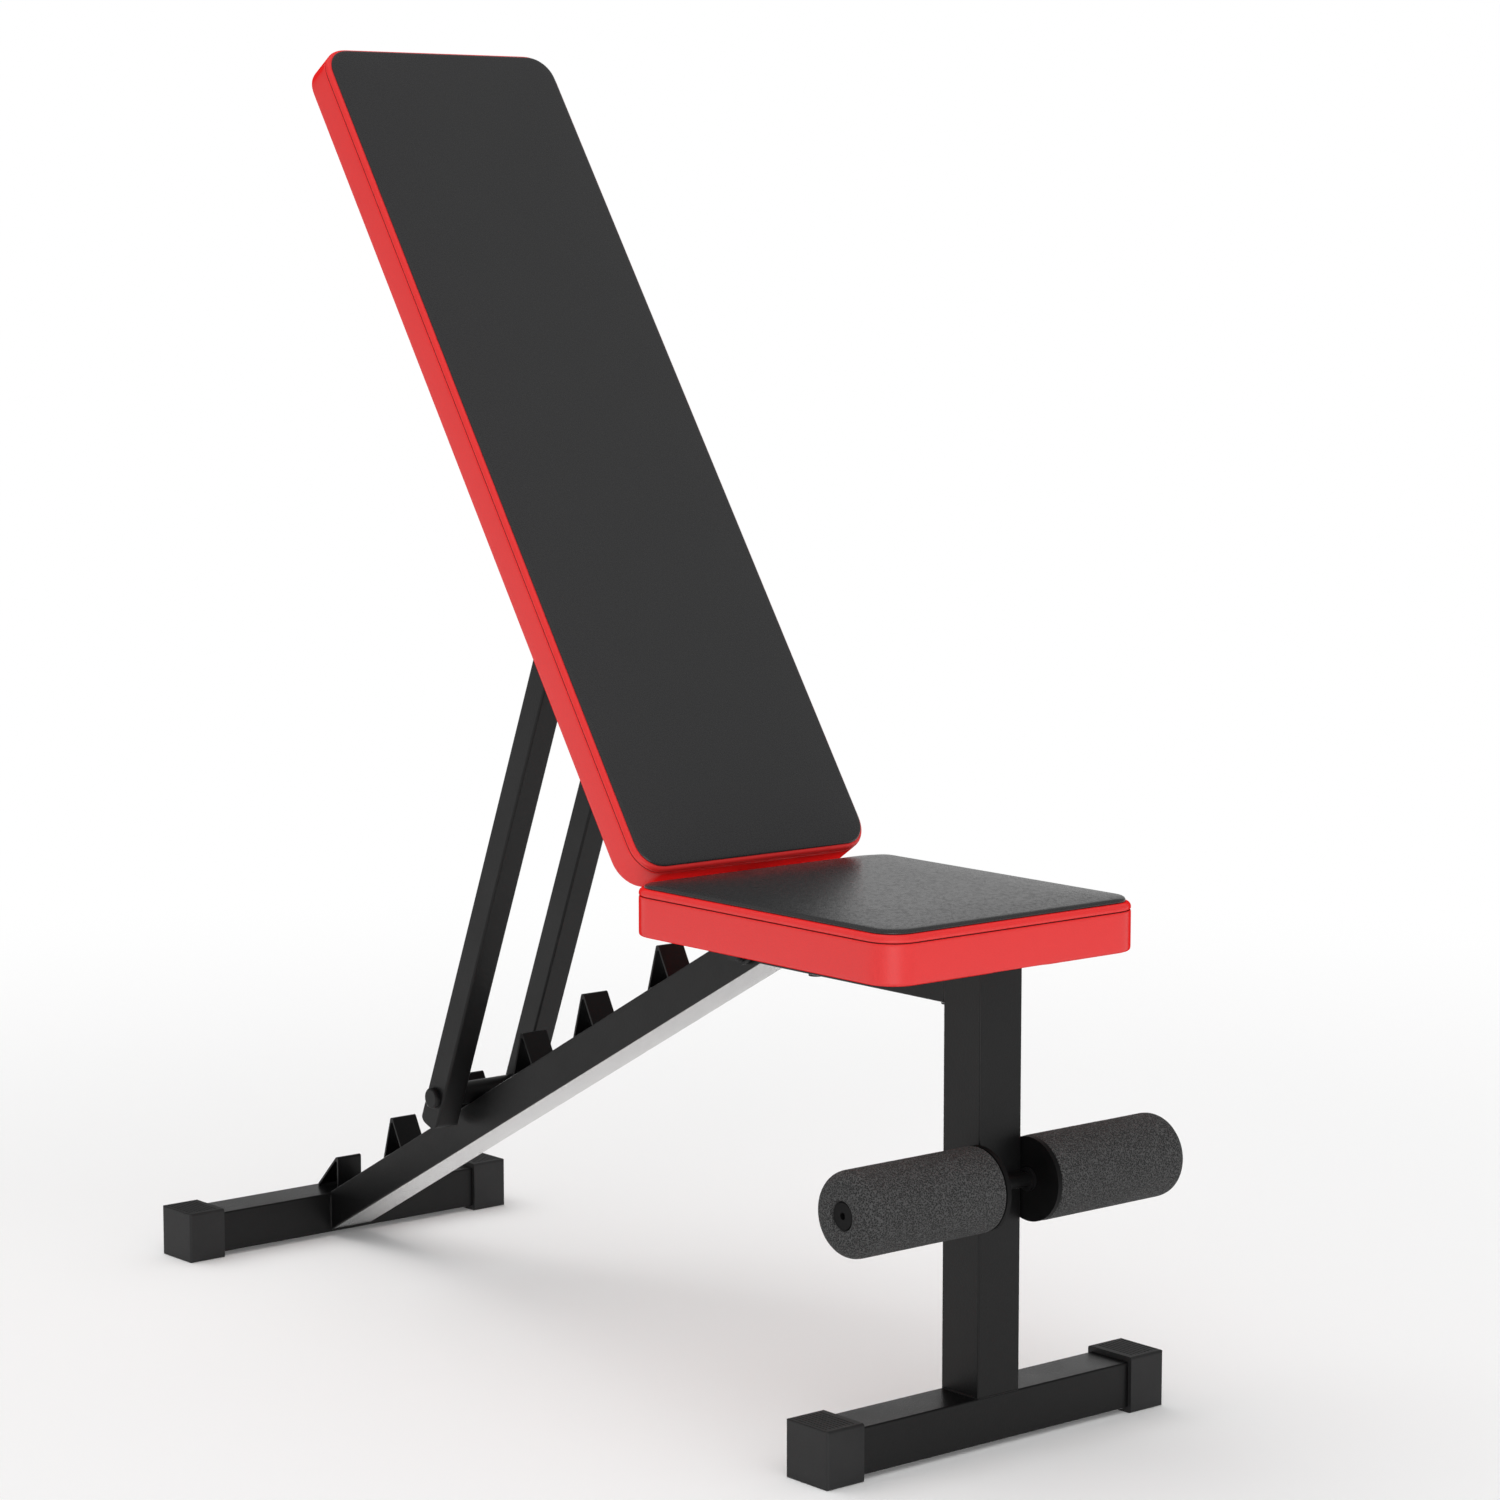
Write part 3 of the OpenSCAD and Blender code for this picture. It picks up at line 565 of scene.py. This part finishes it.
def outline(length, width, inset, n_long, n_short):
    """Points round a rounded rectangle, evenly spaced along each side, with one in each corner's middle."""
    a, b = length / 2 - inset, width / 2 - inset
    r = max(CORNER - inset, MIN_CORNER)
    points = []
    for side in range(4):
        along, other, n = (a, b, n_long) if side % 2 == 0 else (b, a, n_short)
        straight, arc = 2 * (along - r), r * TAU / 8
        total = straight + 2 * arc
        for i in range(n):
            t = total * i / n
            if t < arc:
                angle = -TAU * 3 / 8 + t / r
                x, y = -along + r + r * math.cos(angle), -other + r + r * math.sin(angle)
            elif t <= arc + straight:
                x, y = -along + r + t - arc, -other
            else:
                angle = -TAU / 4 + (t - arc - straight) / r
                x, y = along - r + r * math.cos(angle), -other + r + r * math.sin(angle)
            turn = side * TAU / 4
            points.append((x * math.cos(turn) - y * math.sin(turn), x * math.sin(turn) + y * math.cos(turn)))
    return points


def fill_middle(verts, last, n_long, n_short, height):
    """Stretches a grid of points inside the ring of points that starts at last, and returns its faces."""
    count = 2 * (n_long + n_short)
    grid = {}
    for i in range(n_long + 1):
        grid[i, 0] = last + i
        grid[i, n_short] = last + (2 * n_long + n_short - i) % count
    for j in range(n_short + 1):
        grid[n_long, j] = last + n_long + j
        grid[0, j] = last + (count - j) % count
    corners = [Vector(verts[last + i]) for i in (0, n_long, n_long + n_short, 2 * n_long + n_short)]
    for i in range(1, n_long):
        for j in range(1, n_short):
            u, v = i / n_long, j / n_short
            below, above = Vector(verts[grid[i, 0]]), Vector(verts[grid[i, n_short]])
            left, right = Vector(verts[grid[0, j]]), Vector(verts[grid[n_long, j]])
            p = (1 - v) * below + v * above + (1 - u) * left + u * right
            p -= (1 - u) * (1 - v) * corners[0] + u * (1 - v) * corners[1]
            p -= u * v * corners[2] + (1 - u) * v * corners[3]
            p.z = height(p.x)
            grid[i, j] = len(verts)
            verts.append(tuple(p))
    faces = []
    for i in range(n_long):
        for j in range(n_short):
            faces.append((grid[i, j], grid[i + 1, j], grid[i + 1, j + 1], grid[i, j + 1]))
    return faces


def swell(verts, faces, reach):
    """Blows the cover up under the foam's pressure with Cloth, and keeps each point within its reach."""
    mesh = bpy.data.meshes.new("swelling")
    mesh.from_pydata(verts, [], faces)
    obj = bpy.data.objects.new("swelling", mesh)
    scene.collection.objects.link(obj)
    pins = obj.vertex_groups.new(name="pins")
    pins.add([i for i, r in enumerate(reach) if r == 0.0], 1.0, "REPLACE")
    cloth = obj.modifiers.new("cloth", "CLOTH")
    settings = cloth.settings
    settings.vertex_group_mass = "pins"
    settings.use_pressure = True
    settings.uniform_pressure_force = 4.0
    settings.effector_weights.gravity = 0.0
    settings.quality = 5
    settings.tension_stiffness = 30.0
    settings.compression_stiffness = 30.0
    settings.shear_stiffness = 15.0
    settings.bending_stiffness = 2.0
    last_frame = 20
    cloth.point_cache.frame_start = 1
    cloth.point_cache.frame_end = last_frame
    for number in range(1, last_frame + 1):
        scene.frame_set(number)
    done = obj.evaluated_get(bpy.context.evaluated_depsgraph_get()).to_mesh()
    moved = [v.co.copy() for v in done.vertices]
    bpy.data.objects.remove(obj)
    bpy.data.meshes.remove(mesh)
    scene.frame_set(1)
    result = []
    for v, m, limit in zip(verts, moved, reach):
        shift = m - Vector(v)
        if limit == 0.0 or shift.length < 1e-9:
            result.append(tuple(v))
            continue
        result.append(tuple(Vector(v) + shift * (limit * math.tanh(shift.length / limit) / shift.length)))
    return result


def pad(name, place, body, size, seam, top, raised, crown, rim, clear, cell, thin=0.0):
    """A vinyl pad on its board: a red cover with a sewn seam, and a raised black top panel.

    seam and top are the heights of the seam and of the cover's upper edge, and raised is the panel's
    step above it. crown is how far the foam may swell the panel, rim how far the panel's edge lies
    inside the pad's side, clear half the width of the strip where the wrap lies flatter over the steel,
    and cell about the length of a face. thin is the share of its height above the cover that the panel
    loses along its rear edge.
    """
    node = name + "_pad"
    length, width = size
    # A round corner makes each side shorter by about 0.4 of its radius.
    n_long = round((length - 0.4 * CORNER) / cell)
    n_short = round((width - 0.4 * CORNER) / cell)
    count = 2 * (n_long + n_short)
    verts = []

    def lowered(x, z):
        """The top panel is thinner along its rear edge, where the raised backrest comes over it."""
        near = min(1.0, max(0.0, (THIN_REACH - (x + length / 2)) / THIN_FADE))
        return z if z < top else top + (z - top) * (1 - thin * near * near * (3 - 2 * near))

    def rings(profile):
        """Adds a ring of points at each inset and height, and returns the bands of faces between them."""
        start = len(verts)
        for inset, z in profile:
            for x, y in outline(length, width, inset, n_long, n_short):
                # The wrap lies flatter where the steel passes under it.
                under = z < 0 and abs(y) < clear
                verts.append((x, y, max(z, -0.0001) if under else lowered(x, z)))
        bands = []
        for level in range(len(profile) - 1):
            first = start + level * count
            pairs = [(first + i, first + (i + 1) % count) for i in range(count)]
            bands.append([(a, b, b + count, a + count) for a, b in pairs])
        return bands

    cover_points, panel_points = cover_profile(seam, top), panel_profile(top, raised, rim)
    cover_bands = rings(cover_points)
    panel_start = len(verts)
    panel_bands = rings(panel_points)
    flat = panel_points[-1][1]
    middle = fill_middle(verts, len(verts) - count, n_long, n_short, lambda x: lowered(x, flat))
    cover_faces = [face for band in cover_bands for face in band]
    panel_faces = [face for band in panel_bands for face in band] + middle

    # The two bands in the bottom of the groove get a near-black red, which is painted shade in the groove.
    groove = next(i for i, point in enumerate(cover_points) if point[1] == seam)
    materials = []
    for level in range(len(cover_bands)):
        materials += [1 if level in (groove - 1, groove) else 0] * count

    # How far the pressure of the foam may move each point.
    reach = [0.0] * len(verts)
    for i in range(len(WRAP) * count, (len(WRAP) + SIDE_RINGS - 1) * count):
        reach[i] = SIDE_SWELL
    for i in range(panel_start + STIFF_PANEL_RINGS * count, len(verts)):
        reach[i] = crown
    verts = swell(verts, cover_faces + panel_faces, reach)

    cover_verts = [place @ Vector(v) for v in verts[:panel_start]]
    panel_verts = [place @ Vector(v) for v in verts[panel_start:]]
    panel_faces = [tuple(i - panel_start for i in face) for face in panel_faces]
    cover = new_piece(name + "_cover", cover_verts, cover_faces, [RED_VINYL, SEAM_PAINTED_SHADE], body,
                      levels=1, face_materials=materials)
    panel = new_piece(name + "_top_panel", panel_verts, panel_faces, [BLACK_VINYL], body,
                      levels=1)
    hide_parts(node)


pad("seat", SEAT_PLACE, "frame", SEAT_SIZE, seam=0.0345, top=0.0412, raised=0.0040, crown=0.0026,
    rim=0.0046, clear=0.028, cell=0.0055, thin=0.42)
pad("backrest", BACK_PLACE, "backrest", BACK_SIZE, seam=0.0280, top=0.0338, raised=0.0026, crown=0.0030,
    rim=0.0036, clear=0.030, cell=0.0062)

# ------------------------------------------------------------------ rollers


def roller(side, sign):
    """A foam tube with a rounded outer end and a slightly lumpy skin. sign is +1 on the +Y side."""
    node = "roller_" + side + "_foam"
    low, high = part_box(node)
    centre = (low + high) / 2
    radius = (high.z - low.z) / 2
    inner, outer = (low.y, high.y) if sign > 0 else (-high.y, -low.y)
    bore, edge = 0.0112, 0.0125
    rings, count = 40, 120

    # As (distance from the axis, distance along it): from the bore over the outer end and back.
    profile = [(bore, outer - 0.0035), (bore + 0.0012, outer - 0.0008), (bore + 0.004, outer)]
    profile += [(radius - edge - 0.006, outer), (radius - edge, outer)]
    for t in (0.2, 0.4, 0.6, 0.8, 1.0):
        reach = radius - edge + edge * math.sin(TAU / 4 * t)
        profile.append((reach, outer - edge + edge * math.cos(TAU / 4 * t)))
    start, end = outer - edge, inner + 0.0025
    profile += [(radius, start + (end - start) * i / rings) for i in range(1, rings + 1)]
    profile += [(radius - 0.0004, inner + 0.0012), (radius - 0.0015, inner + 0.0003)]
    profile += [(radius - 0.004, inner), (bore + 0.002, inner), (bore, inner + 0.001)]

    verts, faces = [], []
    for r, y in profile:
        for k in range(count):
            a = TAU * k / count
            p = Vector((r * math.cos(a), y * sign, r * math.sin(a)))
            if r > bore + 0.005:
                lump = noise.noise(Vector((p.x * 38, p.y * 38 + 7 * sign, p.z * 38)))
                fine = noise.noise(p * 260)
                p += Vector((math.cos(a), 0, math.sin(a))) * (0.00010 * lump + 0.00010 * fine)
            verts.append((centre.x + p.x, p.y, centre.z + p.z))
    rows = len(profile)
    for i in range(rows):
        j = (i + 1) % rows
        for k in range(count):
            m = (k + 1) % count
            quad = (i * count + k, i * count + m, j * count + m, j * count + k)
            faces.append(quad if sign < 0 else tuple(reversed(quad)))
    obj = new_piece("foam_roller_" + side, verts, faces, [FOAM], "roller_" + side,
                    levels=1)
    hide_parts(node)


roller("left", 1)
roller("right", -1)

# ------------------------------------------------------------------ staples


def staples(name, place, body, size, clear):
    """Rows of staples that hold the cover to the underside of its board, clear of the steel there."""
    wires = Tubes()
    inset, end, pitch = 0.021, 0.012, 0.024
    along, across = size[0] / 2 - inset, size[1] / 2 - inset
    spots = []
    for a, b, turned in ((along, across, False), (across, along, True)):
        count = round(2 * (a - end) / pitch)
        for i in range(count + 1):
            at = -a + end + 2 * (a - end) * i / count
            for side in (-b, b):
                spots.append((side, at, True) if turned else (at, side, False))
    for number, (x, y, turned) in enumerate(spots):
        if abs(y) < clear:
            continue
        # Each staple is shot in a little askew.
        tilt = 0.18 * math.sin(7.3 * number)
        half = 0.005
        dx, dy = half * math.cos(tilt), half * math.sin(tilt)
        if turned:
            dx, dy = dy, dx
        ends = [(x - dx, y - dy, -0.0002), (x - dx * 0.9, y - dy * 0.9, -0.0011),
                (x + dx * 0.9, y + dy * 0.9, -0.0011), (x + dx, y + dy, -0.0002)]
        wires.sweep([place @ Vector(p) for p in ends], 0.00045, sides=6, step=0.003)
    wires.build(name, STAPLE, body)


staples("seat_staples", SEAT_PLACE, "frame", SEAT_SIZE, clear=0.030)
staples("backrest_staples", BACK_PLACE, "backrest", BACK_SIZE, clear=0.046)

# ------------------------------------------------------------------ welds

RIPPLE = 0.10
STOP_HEIGHT = 0.034  # off the spine
STOP_LENGTH = 0.0377  # from a stop's upright face to where its slope meets the spine
BEND_DROP = 0.0009  # how much lower a stop's rounded bend lies than a sharp corner would
STOP_HALF = 0.0135  # half the length of the bead across a stop
STOP_BEAD = 0.0009
FOOT_BEAD = 0.0013
SIDE_BEAD = 0.0012
FLUSH_BEAD = 0.00115

rear_low, rear_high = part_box("rear_foot_tube")
beam_low, beam_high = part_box("seat_beam")
foot_low, foot_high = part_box("front_foot_tube")
post_low, post_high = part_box("front_post")

# The spine's top face starts this high above the rear foot tube, and ends at the beam's top face.
SPINE_LIFT = 0.0022
SPINE_START = Vector((rear_high.x, 0.0, rear_high.z + SPINE_LIFT))
SPINE_UP = (Vector((beam_low.x, 0.0, beam_high.z)) - SPINE_START).normalized()
SPINE_OUT = Vector((-SPINE_UP.z, 0.0, SPINE_UP.x))


def spine_point(along, out, y):
    return SPINE_START + SPINE_UP * along + SPINE_OUT * out + Vector((0.0, y, 0.0))


def foot_of_stop(number):
    """How far up the spine a stop's upright face stands, from the top of its box."""
    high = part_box("stop_%d" % number)[1]
    return (high.z - SPINE_START.z - STOP_HEIGHT * SPINE_OUT.z + BEND_DROP) / SPINE_UP.z


def frame_welds():
    beads = Tubes()
    top, half = foot_high.z, post_high.y

    # Round the foot of the post, on the foot tube's flat top, almost flush in front and behind.
    front, rear = post_high.x - 0.0011, post_low.x + 0.0011
    for x in (front, rear):
        beads.sweep([(x, half, top), (x, -half, top)], FOOT_BEAD)
    for s in (1, -1):
        beads.sweep([(front, s * half, top), (rear, s * half, top)], FOOT_BEAD, ripple=RIPPLE)

    # The beam's end on the post, ground flush down both sides.
    x = beam_high.x
    for s in (1, -1):
        y = s * (half - 0.0010)
        beads.sweep([(x, y, beam_low.z + 0.002), (x, y, beam_high.z - 0.001)], FLUSH_BEAD)

    # The spine's end on the rear foot, down both sides.
    x = rear_high.x + 0.0002
    for s in (1, -1):
        ends = [(x, s * half, rear_low.z + 0.003), (x, s * half, rear_high.z - 0.0015)]
        beads.sweep(ends, SIDE_BEAD, ripple=RIPPLE)

    # The feet of the stops, in front and behind, and the first stop's foot behind.
    for number in range(2, 7):
        foot = foot_of_stop(number)
        for at in (foot + 0.0002, foot - STOP_LENGTH):
            ends = [spine_point(at, 0.0002, -STOP_HALF), spine_point(at, 0.0002, STOP_HALF)]
            beads.sweep(ends, STOP_BEAD, ripple=RIPPLE)
    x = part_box("stop_1")[0].x - 0.0003
    beads.sweep([(x, -STOP_HALF, top + 0.0002), (x, STOP_HALF, top + 0.0002)], STOP_BEAD, ripple=RIPPLE)
    beads.build("frame_welds", POWDER, "frame")


def backrest_welds():
    """Round the upper ends of the pivot's arms, on both sides of the backrest's rail."""
    beads = Tubes()
    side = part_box("backrest_rail")[1].y + 0.0003
    for s in (1, -1):
        line = []
        for along, out in ((0.076, -0.004), (0.104, -0.004), (0.112, -0.010),
                           (0.112, -0.017), (0.104, -0.0222), (0.076, -0.0240)):
            p = PIVOT + UP_BACK * along + OUT_BACK * out
            line.append((p.x, s * side, p.z))
        beads.sweep(line, SIDE_BEAD, ripple=RIPPLE)
    beads.build("backrest_welds", POWDER, "backrest")


frame_welds()
backrest_welds()
